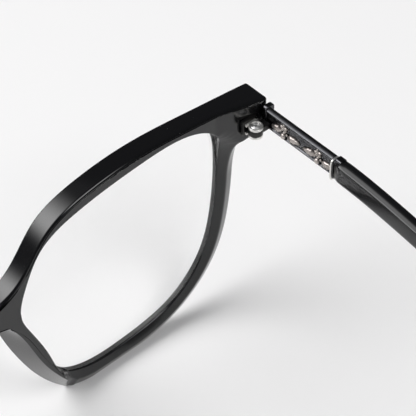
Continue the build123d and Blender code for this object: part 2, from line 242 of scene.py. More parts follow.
def evenPoints(path, step):
    # the same line with points at an even spacing, and the share of the line at each
    path = np.array(path)
    run = np.concatenate([[0], np.cumsum(np.linalg.norm(np.diff(path, axis=0), axis=1))])
    count = max(2, int(round(run[-1] / step)) + 1)
    marks = np.linspace(0, run[-1], count)
    points = np.stack([np.interp(marks, run, path[:, k]) for k in range(path.shape[1])], axis=1)
    return points, marks / run[-1]


def smoothMin(a, b, width):
    return 0.5 * (a + b - math.sqrt((a - b) ** 2 + width * width))


def smoothStep(low, high, value):
    share = min(max((value - low) / (high - low), 0), 1)
    return share * share * (3 - 2 * share)


def frontOutline():
    # stations round one lens: place along the opening, outline at the front, outline at the back
    size = frontSizes
    bite = size["lensBite"]
    left = -lensHigh.x / mm + bite
    right = -lensLow.x / mm - bite
    low = lensLow.z / mm + bite
    high = lensHigh.z / mm - bite
    halfWidth = frontHigh.x / mm

    def spot(across, up, rise=0.0):
        return np.array((left + across * (right - left), low + up * (high - low) + rise))

    opening = fitSpline([spot(*share) for share in openingShape], closed=True)
    brow = size["browHeight"]
    bridgeTop = spot(0, 0.656, brow)[1]
    underBridge = bridgeTop - size["bridgeHeight"]
    endTop = spot(1, 0.936, brow)[1]
    endBottom = endTop - size["endHeight"]
    corner = spot(0.214, -0.083)

    def beside(place, distance):
        ahead = opening(place + 0.01) - opening(place - 0.01)
        ahead /= np.linalg.norm(ahead)
        return opening(place) + np.array((-ahead[1], ahead[0])) * distance

    browLine = fitSpline(
        [(0, bridgeTop), spot(-0.010, 0.716, brow), spot(0.150, 0.898, brow), spot(0.350, 0.977, brow),
         spot(0.592, 0.998, brow), spot(0.895, 0.971, brow), (halfWidth, endTop)],
        ends=[(1, 0), (1, -0.13)],
    )
    browPath = [browLine(place) for place in np.linspace(0, 6, 241)]
    rimPath = [beside(place, size["rimWidth"]) for place in np.linspace(6.92, 12.2, 240)]
    rimPath = [np.array((point[0], max(point[1], 0))) for point in rimPath]
    joinStart = np.array((rimPath[0][0] + 2.5, endBottom))
    joinPath = []
    for s in np.linspace(0, 1, 12):            # the fillet under the end piece
        joinPath.append((1 - s)**2 * joinStart + 2 * s * (1 - s) * np.array((rimPath[0][0] - 0.05, endBottom))
                        + s * s * rimPath[0])
    flankFront = [spot(-0.075, 0.560), spot(-0.050, 0.455), spot(0.012, 0.273), spot(0.111, 0.062), corner]
    splay = size["padSplay"] * np.array((1, 0.4))
    flankBack = [point + splay * share for point, share in zip(flankFront, (0.5, 1.0, 1.05))]
    flankBack += [spot(0.123, 0.158), spot(0.174, 0.072)]
    bed = [np.array((size["padThickness"] * share, 0)) for share in (0.0, 0.75, 1.0, 0.85, 0.0)]
    flankPlaces = np.linspace(4, 0, 60)
    flankLines = []
    for curve in (flankFront, flankBack):
        points = [point + thick for point, thick in zip(curve, bed)]
        line = fitSpline(points, ends=[points[1] - points[0], points[-1] - points[-2]])
        flankLines.append([line(place) for place in flankPlaces])
    underLine = fitSpline([flankFront[0], (left * 0.62, underBridge - 1.5), (0, underBridge)],
                          ends=[(-0.2, 1), (-1, 0)])
    underPath = [underLine(place) for place in np.linspace(0, 2, 40)]
    underBack = fitSpline([flankLines[1][-1], (left * 0.62, underBridge - 1.5), (0, underBridge)],
                          ends=[(-0.5, 1), (-1, 0)])
    underBackPath = [underBack(place) for place in np.linspace(0, 2, 40)]

    stations = []

    def addStretch(front, back, places, step, lastToo=False):
        # places: (share of the stretch, place along the opening)
        both = np.hstack([np.array(front), np.array(back)])
        points, shares = evenPoints(both, step)
        if not lastToo:
            points, shares = points[:-1], shares[:-1]
        for point, share in zip(points, shares):
            place = np.interp(share, [row[0] for row in places], [row[1] for row in places])
            stations.append((place, point[:2], point[2:]))

    step = size["step"]
    addStretch(browPath, browPath, [(0, 0.15), (0.15, 0.95), (0.30, 2.1), (0.47, 3.2), (0.63, 4.0),
                                    (0.86, 5.35), (1, 6.12)], step)
    side = [(halfWidth, endTop), (halfWidth, endBottom)]
    addStretch(side, side, [(0, 6.12), (1, 6.42)], 0.45)
    under = [(halfWidth, endBottom), tuple(joinStart)]
    addStretch(under, under, [(0, 6.42), (1, 6.52)], 0.5)
    addStretch(joinPath, joinPath, [(0, 6.52), (1, 6.92)], 0.28)
    addStretch(rimPath, rimPath, [(0, 6.92), (1, 12.2)], step)
    foot = [rimPath[-1], corner]
    addStretch(foot, foot, [(0, 12.2), (0.75, 12.86), (1, 12.92)], 0.4)
    addStretch(flankLines[0], flankLines[1], [(0, 12.98), (0.12, 13.12), (0.28, 13.5), (0.62, 14.2),
                                              (0.88, 15.0), (1, 15.5)], step)
    addStretch(underPath, underBackPath, [(0, 15.5), (0.3, 15.66), (1, 15.85)], 0.5, lastToo=True)
    return stations, opening, halfWidth, endBottom


def backDepth(point, innerGap, outerGap, place, halfWidth, endBottom):
    # how far behind the front the back surface lies at a point (across, height)
    size = frontSizes
    endDepth = (frontHigh.y - frontLow.y) / mm
    ramp = size["endRamp"]
    growth = max(0, point[0] - (halfWidth - ramp)) / ramp
    flat = size["browDepth"] + (endDepth - size["browDepth"]) * growth
    if place > 12.95:
        return flat - 1.0 * (1 - smoothStep(12.95, 13.5, place))
    if place < 5.95:
        return flat
    inner = size["innerEdgeDepth"] + size["innerSlope"] * innerGap
    outer = size["outerEdgeDepth"] + size["outerSlope"] * outerGap
    if place > 12.3:                               # the rim thins out below the flank
        outer -= 1.3 * smoothStep(12.25, 12.9, place)
    if place < 9:                                  # the rim swells into the end piece
        rise = max(0, point[1] - (endBottom - size["rampLength"]))
        inner += size["innerRamp"] * rise * rise
        outer += size["outerRamp"] * rise * rise
    rim = smoothMin(inner, outer, size["ridgeRound"])
    return smoothMin(rim, flat, 0.06)


def buildFront():
    stations, opening, halfWidth, endBottom = frontOutline()
    size = frontSizes
    innerLines = 11              # lines of the back surface between its two edges
    bm = bmesh.new()
    weight = bm.edges.layers.float.new("bevel_weight_edge")
    rows = []
    groove = size["grooveDepth"]
    for place, front, back in stations:
        inner = opening(place)
        ahead = opening(place + 0.01) - opening(place - 0.01)
        outward = np.array((-ahead[1], ahead[0])) / np.linalg.norm(ahead)
        reach = np.linalg.norm(back - inner)
        points = [(*inner, 0.0), (*front, 0.0)]
        edgeGap = min(size["backEdgeRoom"] / reach, 0.4)
        for share in (1.0, *np.linspace(1 - edgeGap, 0.3 / reach, innerLines), 0.0):
            point = inner + (back - inner) * share
            depth = backDepth(point, share * reach, (1 - share) * reach, place, halfWidth, endBottom)
            points.append((*point, depth))
        points += [(*inner, size["grooveBack"]), (*(inner + outward * groove), size["grooveBack"]),
                   (*(inner + outward * groove), size["grooveFront"]), (*inner, size["grooveFront"])]
        rows.append([bm.verts.new((x * mm, frontLow.y + depth * mm, z * mm)) for x, z, depth in points])
    last = len(rows[0]) - 1
    backLast = 2 + innerLines + 1
    for row, following in zip(rows, rows[1:]):
        for i in range(last + 1):
            j = (i + 1) % (last + 1)
            bm.faces.new((row[i], following[i], following[j], row[j]))
    # the two ends of the ring close across the half bridge, which is open at the middle
    first, final = rows[0], rows[-1]
    for i in list(range(1)) + list(range(2, last + 1)):
        j = (i + 1) % (last + 1)
        bm.faces.new((final[i], first[i], first[j], final[j]))
    bm.normal_update()
    rounding = {0: 0.22, 1: 0.28, 2: 0.28, backLast: 0.22}
    for number, row in enumerate(rows):
        place = stations[number][0]
        for i, radius in rounding.items():
            nextRow = rows[(number + 1) % len(rows)]
            edge = bm.edges.get((row[i], nextRow[i]))
            if edge is None or (number == len(rows) - 1 and i in (1, 2)):
                continue
            if i == 2 and place < 6.2:
                radius = 0.95 - 0.30 * smoothStep(0.5, 1.0, place)       # saddle, then brow
            if 12.6 < place < 13.0 and i in (1, 2):
                radius = 0.05                                            # the cut at the flank's foot
            if 6.1 < place < 6.45 and i in (1, 2):
                radius = 0.9 if i == 1 else 0.55                         # upright corners of the end piece
            edge[weight] = radius
    corners = [number for number, row in enumerate(stations) if abs(row[1][0] - halfWidth) < 1e-6]
    for number in (corners[0], corners[-1]):
        edge = bm.edges.get((rows[number][1], rows[number][2]))
        edge[weight] = 0.35
    mesh = bpy.data.meshes.new("frontShell")
    bm.to_mesh(mesh)
    bm.free()
    shell = bpy.data.objects.new("front_shell", mesh)
    bpy.context.scene.collection.objects.link(shell)
    mirrorModifier = shell.modifiers.new("bothHalves", "MIRROR")
    mirrorModifier.merge_threshold = 0.00001
    bevel = shell.modifiers.new("roundedEdges", "BEVEL")
    bevel.limit_method = "WEIGHT"
    bevel.width = mm
    bevel.segments = 4
    bevel.use_clamp_overlap = False
    bevel.harden_normals = False
    for face in mesh.polygons:
        face.use_smooth = True
    normals = shell.modifiers.new("flatFaces", "WEIGHTED_NORMAL")
    normals.keep_sharp = True
    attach(shell, "front_body")
    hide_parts("front")
    return shell


shell = buildFront()
print("front built:", len(shell.data.polygons), "faces in one half")


def makePiece(name, bm, body, nodes, smoothAngle=35, bevelWidth=0.0, bevelSteps=3, subdivide=0):
    # turns a bmesh in millimetres into a piece that rides on a body
    mesh = bpy.data.meshes.new(name)
    bmesh.ops.recalc_face_normals(bm, faces=bm.faces)
    bmesh.ops.scale(bm, vec=(mm, mm, mm), verts=bm.verts)
    bm.to_mesh(mesh)
    bm.free()
    piece = bpy.data.objects.new(name, mesh)
    bpy.context.scene.collection.objects.link(piece)
    for face in mesh.polygons:
        face.use_smooth = True
    if bevelWidth:
        bevel = piece.modifiers.new("roundedEdges", "BEVEL")
        bevel.width = bevelWidth * mm
        bevel.segments = bevelSteps
        bevel.limit_method = "ANGLE"
        bevel.angle_limit = math.radians(smoothAngle)
        normals = piece.modifiers.new("flatFaces", "WEIGHTED_NORMAL")
        normals.keep_sharp = True
    if subdivide:
        smooth = piece.modifiers.new("smoothSkin", "SUBSURF")
        smooth.levels = subdivide
        smooth.render_levels = subdivide
    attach(piece, body)
    if nodes:
        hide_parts(*nodes)
    return piece


def loftRings(bm, rings, closed=False, capped=True):
    # skins a row of rings that have the same number of points
    rows = [[bm.verts.new(point) for point in ring] for ring in rings]
    pairs = list(zip(rows, rows[1:])) + ([(rows[-1], rows[0])] if closed else [])
    for row, following in pairs:
        for i in range(len(row)):
            j = (i + 1) % len(row)
            bm.faces.new((row[i], row[j], following[j], following[i]))
    if capped and not closed:
        bm.faces.new(rows[0][::-1])
        bm.faces.new(rows[-1])
    return rows


def boxOf(node):
    low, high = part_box(node)
    return low / mm, high / mm


lensSizes = {
    "dome": 0.35,                # how far the middle bulges forward
    "edge": 0.45,                # how far the edge enters the groove, just past the groove's wall
    "rings": 14,
    "around": 160,
}


def buildLens(side):
    size = lensSizes
    stations, opening, halfWidth, endBottom = frontOutline()
    low, high = boxOf("lens_" + side)
    sign = -1 if side == "right" else 1
    front, back = low.y, high.y
    middle = np.array((abs(low.x + high.x) / 2, (low.z + high.z) / 2))
    bm = bmesh.new()
    edge = []
    for i in range(size["around"]):
        place = 16 * i / size["around"]
        ahead = opening(place + 0.01) - opening(place - 0.01)
        ahead /= np.linalg.norm(ahead)
        edge.append(opening(place) + np.array((-ahead[1], ahead[0])) * size["edge"])
    rims = []
    for level in (front, back):
        rings = []
        for ring in range(size["rings"], 0, -1):
            share = ring / size["rings"]
            row = []
            for point in edge:
                spot = middle + (point - middle) * share
                dome = size["dome"] * (1 - share * share)
                row.append(bm.verts.new((sign * spot[0], level - dome, spot[1])))
            rings.append(row)
        apex = bm.verts.new((sign * middle[0], level - size["dome"], middle[1]))
        for row, following in zip(rings, rings[1:]):
            for i in range(len(row)):
                j = (i + 1) % len(row)
                bm.faces.new((row[i], row[j], following[j], following[i]))
        for i in range(len(rings[-1])):
            bm.faces.new((rings[-1][i], rings[-1][(i + 1) % len(edge)], apex))
        rims.append(rings[0])
    for i in range(len(edge)):
        j = (i + 1) % len(edge)
        bm.faces.new((rims[0][i], rims[0][j], rims[1][j], rims[1][i]))
    lens = makePiece("lens_glass_" + side, bm, "front_body", ["lens_" + side])
    lens.data.set_sharp_from_angle(angle=math.radians(40))
    return lens


lenses = [buildLens(side) for side in sides]
print("lenses built")


def newMaterial(name):
    material = bpy.data.materials.new(name)
    material.use_nodes = True
    tree = material.node_tree
    return material, tree, tree.nodes["Principled BSDF"]


def makeWearGroup():
    # fine handling marks: dust specks, hair scratches and slow waviness, all small
    group = bpy.data.node_groups.new("handlingMarks", "ShaderNodeTree")
    for name, default in (("Scale", 900.0), ("Dust", 0.5), ("Scratches", 0.5)):
        socket = group.interface.new_socket(name, in_out="INPUT", socket_type="NodeSocketFloat")
        socket.default_value = default
    for name in ("Dust Mask", "Roughness Change", "Height"):
        group.interface.new_socket(name, in_out="OUTPUT", socket_type="NodeSocketFloat")
    nodes, links = group.nodes, group.links
    entry = nodes.new("NodeGroupInput")
    leave = nodes.new("NodeGroupOutput")
    place = nodes.new("ShaderNodeTexCoord")

    def math2(kind, first, second):
        node = nodes.new("ShaderNodeMath")
        node.operation = kind
        for socket, value in zip(node.inputs, (first, second)):
            if isinstance(value, (int, float)):
                socket.default_value = value
            else:
                links.new(value, socket)
        return node.outputs[0]

    def ramp(value, low, high):
        node = nodes.new("ShaderNodeMapRange")
        node.inputs["From Min"].default_value = low
        node.inputs["From Max"].default_value = high
        links.new(value, node.inputs["Value"])
        return node.outputs["Result"]

    specks = nodes.new("ShaderNodeTexVoronoi")
    links.new(place.outputs["Object"], specks.inputs["Vector"])
    links.new(entry.outputs["Scale"], specks.inputs["Scale"])
    speck = ramp(specks.outputs["Distance"], 0.085, 0.05)
    patches = nodes.new("ShaderNodeTexNoise")
    patches.inputs["Scale"].default_value = 140.0
    patches.inputs["Detail"].default_value = 4.0
    links.new(place.outputs["Object"], patches.inputs["Vector"])
    patch = ramp(patches.outputs["Fac"], 0.54, 0.72)
    dust = math2("MULTIPLY", math2("MULTIPLY", speck, patch), entry.outputs["Dust"])
    stretch = nodes.new("ShaderNodeMapping")
    stretch.inputs["Rotation"].default_value = (0.5, 0.7, 0.4)
    stretch.inputs["Scale"].default_value = (1.0, 14.0, 14.0)
    links.new(place.outputs["Object"], stretch.inputs["Vector"])
    hairs = nodes.new("ShaderNodeTexNoise")
    hairs.inputs["Scale"].default_value = 260.0
    hairs.inputs["Detail"].default_value = 2.0
    links.new(stretch.outputs["Vector"], hairs.inputs["Vector"])
    hair = math2("MULTIPLY", ramp(hairs.outputs["Fac"], 0.66, 0.72), entry.outputs["Scratches"])
    smear = math2("MULTIPLY", patches.outputs["Fac"], 0.10)
    links.new(dust, leave.inputs["Dust Mask"])
    links.new(math2("ADD", smear, math2("MULTIPLY", hair, 0.08)), leave.inputs["Roughness Change"])
    links.new(math2("SUBTRACT", dust, math2("MULTIPLY", hair, 0.3)), leave.inputs["Height"])
    return group


handlingMarks = makeWearGroup()

plastics = {
    # slot: (name, colour, roughness, dust, scratches)
    "frame_black": ("frontAcetate", (0.0055, 0.0055, 0.0062), 0.13, 0.30, 0.5),
    "temple_black": ("templeAcetate", (0.0055, 0.0055, 0.0062), 0.14, 0.40, 0.7),
    "pad_black": ("padAcetate", (0.0075, 0.0075, 0.008), 0.20, 0.25, 0.5),
}
metals = {
    # slot: (name, colour, roughness, how dark the painted shade in the recesses goes, scratches)
    "hinge_silver": ("brightNickel", (0.86, 0.85, 0.82), 0.40, 0.15, 0.6),
    "hinge_dark": ("blackenedNickel", (0.045, 0.044, 0.042), 0.36, 0.4, 0.8),
    "screw_silver": ("turnedSteel", (0.90, 0.90, 0.89), 0.36, 0.35, 0.6),
    "link_black": ("blackNickel", (0.075, 0.075, 0.080), 0.24, 0.4, 0.8),
    "ornament_silver": ("antiqueSilver", (0.50, 0.455, 0.43), 0.36, 0.95, 0.6),
    "core_steel": ("drawnSteel", (0.60, 0.60, 0.60), 0.30, 0.3, 0.5),
}


def addMarks(tree, shader, roughness, dust, scratches, scale=900.0, bumpHeight=0.000004):
    marks = tree.nodes.new("ShaderNodeGroup")
    marks.node_tree = handlingMarks
    marks.inputs["Scale"].default_value = scale
    marks.inputs["Dust"].default_value = dust
    marks.inputs["Scratches"].default_value = scratches
    total = tree.nodes.new("ShaderNodeMath")
    total.operation = "ADD"
    total.inputs[1].default_value = roughness - 0.05
    tree.links.new(marks.outputs["Roughness Change"], total.inputs[0])
    tree.links.new(total.outputs[0], shader.inputs["Roughness"])
    bump = tree.nodes.new("ShaderNodeBump")
    bump.inputs["Distance"].default_value = bumpHeight
    bump.inputs["Strength"].default_value = 0.5
    tree.links.new(marks.outputs["Height"], bump.inputs["Height"])
    tree.links.new(bump.outputs["Normal"], shader.inputs["Normal"])
    return marks


def mixColors(tree, factor, first, second):
    mix = tree.nodes.new("ShaderNodeMix")
    mix.data_type = "RGBA"
    tree.links.new(factor, mix.inputs[0])
    mix.inputs[6].default_value = (*first, 1)
    mix.inputs[7].default_value = (*second, 1)
    return mix


def plasticMaterial(name, color, roughness, dust, scratches):
    material, tree, shader = newMaterial(name)
    marks = addMarks(tree, shader, roughness, dust, scratches)
    mix = mixColors(tree, marks.outputs["Dust Mask"], color, (0.25, 0.24, 0.23))
    tree.links.new(mix.outputs[2], shader.inputs["Base Color"])
    shader.inputs["IOR"].default_value = 1.49
    return material


def metalMaterial(name, color, roughness, recessShade, scratches):
    material, tree, shader = newMaterial(name)
    marks = addMarks(tree, shader, roughness, 0.3, scratches, scale=1600.0)
    # painted shade: the base colour is pulled towards near black where ambient occlusion finds recesses and tight
    # corners; on the antique silver this stands partly for its blackened patina and partly for shade
    hollow = tree.nodes.new("ShaderNodeAmbientOcclusion")
    hollow.inputs["Distance"].default_value = 0.0005
    hollow.samples = 8
    depth = tree.nodes.new("ShaderNodeMapRange")
    depth.inputs["From Min"].default_value = 0.25
    depth.inputs["From Max"].default_value = 0.80
    depth.inputs["To Min"].default_value = recessShade
    depth.inputs["To Max"].default_value = 0.0
    tree.links.new(hollow.outputs["AO"], depth.inputs["Value"])
    mottle = tree.nodes.new("ShaderNodeTexNoise")
    mottle.inputs["Scale"].default_value = 1300.0
    mottle.inputs["Detail"].default_value = 5.0
    place = tree.nodes.new("ShaderNodeTexCoord")
    tree.links.new(place.outputs["Object"], mottle.inputs["Vector"])
    darker = [share * 0.82 for share in color]
    lighter = [min(1.0, share * 1.12) for share in color]
    tint = mixColors(tree, mottle.outputs["Fac"], darker, lighter)
    paintedShade = tree.nodes.new("ShaderNodeMix")
    paintedShade.data_type = "RGBA"
    tree.links.new(depth.outputs["Result"], paintedShade.inputs[0])
    tree.links.new(tint.outputs[2], paintedShade.inputs[6])
    paintedShade.inputs[7].default_value = (0.012, 0.011, 0.010, 1)
    tree.links.new(paintedShade.outputs[2], shader.inputs["Base Color"])
    shader.inputs["Metallic"].default_value = 1.0
    return material


materials = {slot: plasticMaterial(*values) for slot, values in plastics.items()}
materials.update({slot: metalMaterial(*values) for slot, values in metals.items()})
glass, glassTree, glassShader = newMaterial("lensClear")
glassShader.inputs["Base Color"].default_value = (1.0, 1.0, 1.0, 1)
glassShader.inputs["Transmission Weight"].default_value = 1.0
glassShader.inputs["Roughness"].default_value = 0.0
glassShader.inputs["IOR"].default_value = 1.5
materials["lens_clear"] = glass
floorMaterial, _, floorShader = newMaterial("floorPaper")
floorShader.inputs["Base Color"].default_value = studio["floorColor"]
floorShader.inputs["Roughness"].default_value = 0.9
floorShader.inputs["Specular IOR Level"].default_value = 0.0
floor.data.materials.append(floorMaterial)

# clear glass whose shadow is as light as the real one's
shadowPath = glassTree.nodes.new("ShaderNodeLightPath")
clearPass = glassTree.nodes.new("ShaderNodeBsdfTransparent")
mixPass = glassTree.nodes.new("ShaderNodeMixShader")
passes = glassTree.nodes.new("ShaderNodeMath")
passes.operation = "MAXIMUM"
glassTree.links.new(shadowPath.outputs["Is Shadow Ray"], passes.inputs[0])
glassTree.links.new(shadowPath.outputs["Is Diffuse Ray"], passes.inputs[1])
glassTree.links.new(passes.outputs[0], mixPass.inputs[0])
glassTree.links.new(glassShader.outputs["BSDF"], mixPass.inputs[1])
glassTree.links.new(clearPass.outputs["BSDF"], mixPass.inputs[2])
glassTree.links.new(mixPass.outputs["Shader"], glassTree.nodes["Material Output"].inputs["Surface"])


hingeSizes = {
    "eyeRadius": 1.45,
    "eyes": ((0.0, 0.6), (2.0, 2.5)),     # from the barrel's top down: upper and lower eye
    "knuckle": (0.65, 1.95),
    "headRadius": 1.02,
    "headRise": 0.05,
    "rings": (0.42, 0.60, 0.80),          # steps turned into the screw's head
    "plate": (3.4, 3.3),
    "armBack": 0.9,
    "armFront": 1.15,
}


def turnedRing(bm, centre, profile, around=56):
    # a ring about an upright axis with the given (radius, height) outline
    rings = []
    for i in range(around):
        angle = 2 * math.pi * i / around
        c, s = math.cos(angle), math.sin(angle)
        rings.append([(centre[0] + r * c, centre[1] + r * s, z) for r, z in profile])
    loftRings(bm, rings, closed=True)


def discProfile(low, high, radius, hole, rounding):
    near = rounding * 0.3
    return [(hole, low), (radius - rounding, low), (radius - near, low + near), (radius, low + rounding),
            (radius, high - rounding), (radius - near, high - near), (radius - rounding, high), (hole, high)]


def roundedBox(bm, low, high):
    corners = [bm.verts.new((x, y, z)) for x in (low[0], high[0]) for y in (low[1], high[1])
               for z in (low[2], high[2])]
    for face in ((0, 1, 3, 2), (4, 6, 7, 5), (0, 4, 5, 1), (2, 3, 7, 6), (0, 2, 6, 4), (1, 5, 7, 3)):
        bm.faces.new([corners[i] for i in face])


def buildHinge(side):
    size = hingeSizes
    sign = -1 if side == "right" else 1
    pivot = Vector(joints["fold_" + side]["pos_m"]) / mm
    leafLow, leafHigh = boxOf("hinge_front_leaf_" + side)
    top = boxOf("hinge_screw_" + side)[1].z
    plateBack = pivot.y - size["eyeRadius"] - 0.12
    plateFront = leafLow.y
    centre = (pivot.x, pivot.y)

    bm = bmesh.new()                       # plate let into the end piece
    wide, tall = size["plate"]
    middle = (leafLow.z + leafHigh.z) / 2
    roundedBox(bm, (pivot.x - wide / 2, plateFront, middle - tall / 2),
               (pivot.x + wide / 2, plateBack, middle + tall / 2))
    makePiece("hinge_plate_" + side, bm, "front_body", ["hinge_front_leaf_" + side],
              bevelWidth=0.22).data.materials.append(materials["hinge_dark"])

    for number, (start, end) in enumerate(size["eyes"]):
        bm = bmesh.new()
        low, high = top - end, top - start
        hole = 0.0 if number else size["headRadius"] + 0.04
        profile = discProfile(low, high, size["eyeRadius"], max(hole, 0.72), 0.12)
        turnedRing(bm, centre, profile)
        neck = 0.9 * size["eyeRadius"]
        roundedBox(bm, (pivot.x - neck, plateBack - 0.1, low + 0.01),
                   (pivot.x + neck, pivot.y - 1.12, high - 0.01))
        name = ("upper", "lower")[number]
        makePiece("hinge_" + name + "_eye_" + side, bm, "front_body", [],
                  bevelWidth=0.05).data.materials.append(materials["hinge_silver"])

    bm = bmesh.new()                       # screw: turned head with a cross recess, shank and riveted tail
    a, b, c = size["rings"]
    r = size["headRadius"]
    head = top + size["headRise"]
    turnedRing(bm, centre, [(0.001, head - 0.12), (a - 0.05, head - 0.12), (a, head - 0.02), (b, head - 0.10),
                            (b + 0.02, head - 0.24), (c - 0.05, head - 0.24), (c, head - 0.02),
                            (r, head - 0.12), (r, top - 0.40), (0.70, top - 0.42), (0.70, top - 2.5),
                            (0.62, top - 2.72), (0.45, top - 2.75), (0.001, top - 2.75)], around=64)
    for turn in (0.6, 0.6 + math.pi / 2):
        blade = bmesh.new()
        roundedBox(blade, (-0.30, -0.055, head - 0.15), (0.30, 0.055, head - 0.09))
        bmesh.ops.rotate(blade, cent=(0, 0, 0), matrix=Matrix.Rotation(turn, 3, "Z"), verts=blade.verts)
        bmesh.ops.translate(blade, vec=(pivot.x, pivot.y, 0), verts=blade.verts)
        spare = bpy.data.meshes.new("blade")
        blade.to_mesh(spare)
        blade.free()
        bm.from_mesh(spare)
        bpy.data.meshes.remove(spare)
    pin = makePiece("hinge_pin_" + side, bm, "front_body", ["hinge_screw_" + side])
    pin.data.set_sharp_from_angle(angle=math.radians(30))
    pin.data.materials.append(materials["screw_silver"])

    bm = bmesh.new()                       # knuckle of the temple with its arm to the link
    start, end = size["knuckle"]
    leafLow, leafHigh = boxOf("hinge_temple_leaf_" + side)
    low, high = leafLow.z, leafHigh.z
    turnedRing(bm, centre, discProfile(low, high, size["eyeRadius"], 0.76, 0.10))
    outer = leafLow.x if side == "right" else leafHigh.x
    reach = sorted((pivot.x + sign * 1.0, outer))
    roundedBox(bm, (reach[0], pivot.y - size["armFront"], low), (reach[1], pivot.y + size["armBack"], high))
    makePiece("hinge_knuckle_" + side, bm, "temple_" + side, ["hinge_temple_leaf_" + side],
              bevelWidth=0.07).data.materials.append(materials["hinge_dark"])


linkSizes = {
    "sunk": 0.30,                # how far the panel lies below the bars
    "frameTop": 0.85,            # height of the smooth bar along the top
    "topSlope": 0.30,            # how far the bar's top slopes down on the inner side
    "frameBottom": 0.34,
    "motifPitch": 9.0,
    "firstMotif": 12.2,          # from the front to the first flower
}


def buildLink(side):
    # plate with a raised bar along the top, a thin one along the bottom and a sunk panel between
    size = linkSizes
    low, high = boxOf("link_plate_" + side)
    bm = bmesh.new()
    middle = (low.x + high.x) / 2
    half = (high.x - low.x) / 2
    sunk = size["sunk"]
    inward = 1 if side == "right" else -1
    topBar = high.z - size["frameTop"]
    outline = [
        (half, high.z - size["topSlope"]), (half - 0.72, high.z), (-half + 0.15, high.z),
        (-half, high.z - 0.12),
        (-half, topBar), (-half + sunk, topBar - 0.15), (-half + sunk, low.z + size["frameBottom"] + 0.12),
        (-half, low.z + size["frameBottom"]), (-half, low.z + 0.1), (-half + 0.1, low.z), (half - 0.1, low.z),
        (half, low.z + 0.1), (half, low.z + size["frameBottom"]),
        (half - sunk, low.z + size["frameBottom"] + 0.12), (half - sunk, topBar - 0.15), (half, topBar),
    ]
    outline = [(inward * x, z) for x, z in outline]
    stations = np.linspace(low.y, high.y, 40)
    loftRings(bm, [[(middle + x, y, z) for x, z in outline] for y in stations])
    makePiece("link_bar_" + side, bm, "temple_" + side, ["link_plate_" + side],
              bevelWidth=0.06).data.materials.append(materials["link_black"])


def petalDome(bm, centre, long, wide, tall, turn, face, ribs=0.0, teeth=0):
    # a raised leaf or petal on one face of the link: face = (side of the link, its x, direction out)
    along, up = centre
    faceX, out = face
    rings = 7
    around = 28
    rows = []
    for ring in range(rings):
        share = 1 - ring / rings
        row = []
        for i in range(around):
            angle = 2 * math.pi * i / around
            edge = 1 + (0.14 * math.cos(teeth * angle) if teeth else 0) * share
            u = math.cos(angle) * long * share * edge
            v = math.sin(angle) * wide * share * edge * (1 - 0.35 * math.cos(angle))
            crease = ribs * abs(v) / wide - ribs * 0.6 * abs(math.sin(9 * u / long)) * share
            height = tall * (1 - share**2.4) ** 0.6 + crease * (share < 0.95)
            x = u * math.cos(turn) - v * math.sin(turn)
            z = u * math.sin(turn) + v * math.cos(turn)
            row.append(bm.verts.new((faceX + out * (height + 0.02 if ring else -0.12), along + x, up + z)))
        rows.append(row)
    top = bm.verts.new((faceX + out * (tall - ribs * 0.1), along, up))
    for row, following in zip(rows, rows[1:]):
        for i in range(around):
            j = (i + 1) % around
            bm.faces.new((row[i], row[j], following[j], following[i]))
    for i in range(around):
        bm.faces.new((rows[-1][i], rows[-1][(i + 1) % around], top))
    bm.faces.new(rows[0])


def ball(bm, centre, radius, flatten=1.0):
    made = bmesh.ops.create_uvsphere(bm, u_segments=24, v_segments=14, radius=radius)["verts"]
    bmesh.ops.scale(bm, vec=(flatten, 1, 1), verts=made)
    bmesh.ops.translate(bm, vec=centre, verts=made)


def buildOrnament(side):
    size = linkSizes
    low, high = boxOf("link_plate_" + side)
    sunk = size["sunk"]
    front = frontLow.y / mm
    flowers, beads, leaves = bmesh.new(), bmesh.new(), bmesh.new()
    for faceX, out in ((low.x + sunk, -1), (high.x - sunk, 1)):
        face = (faceX, out)
        for number in range(2):
            y = front + size["firstMotif"] + number * size["motifPitch"]
            z = high.z
            for petal in range(5):
                angle = math.radians(90 + 72 * petal + 10 * number)
                centre = (y + 0.56 * math.cos(angle), z - 1.55 + 0.56 * math.sin(angle))
                petalDome(flowers, centre, 0.50, 0.40, 0.50, angle, face, ribs=0.07)
            ball(flowers, (faceX + out * 0.38, y, z - 1.55), 0.24)
            ball(beads, (faceX + out * 0.28, y - 0.1, z - 3.55), 0.62, 0.75)
            ball(beads, (faceX + out * 0.16, y - 0.85, z - 2.75), 0.27)
            ball(beads, (faceX + out * 0.16, y + 0.75, z - 2.85), 0.27)
            ball(beads, (faceX + out * 0.20, y + 0.1, z - 2.62), 0.30)
            for direction, reach in ((-1, 1.35 if number == 0 else 1.7), (1, 1.75)):
                place = (y + direction * (0.75 + reach), z - 2.95 - 0.12 * direction)
                turn = 0.12 * direction if direction > 0 else math.pi + 0.14
                petalDome(leaves, place, reach, 0.72, 0.44, turn, face, ribs=0.16, teeth=9)
    for name, bm, node in (("flowers", flowers, "ornament_flowers_"), ("beads", beads, "ornament_beads_"),
                           ("leaves", leaves, "ornament_leaves_")):
        makePiece("relief_" + name + "_" + side, bm, "temple_" + side,
                  [node + side]).data.materials.append(materials["ornament_silver"])


ferruleSizes = {
    "band": 0.36,                # length of the bright band
    "groove": 0.22,              # length of the dark neck behind it
    "ringShort": 0.12,           # from the ring to the rear of the CAD band
    "squareness": 0.45,          # power of the section: 1 is an ellipse
    "around": 48,
}


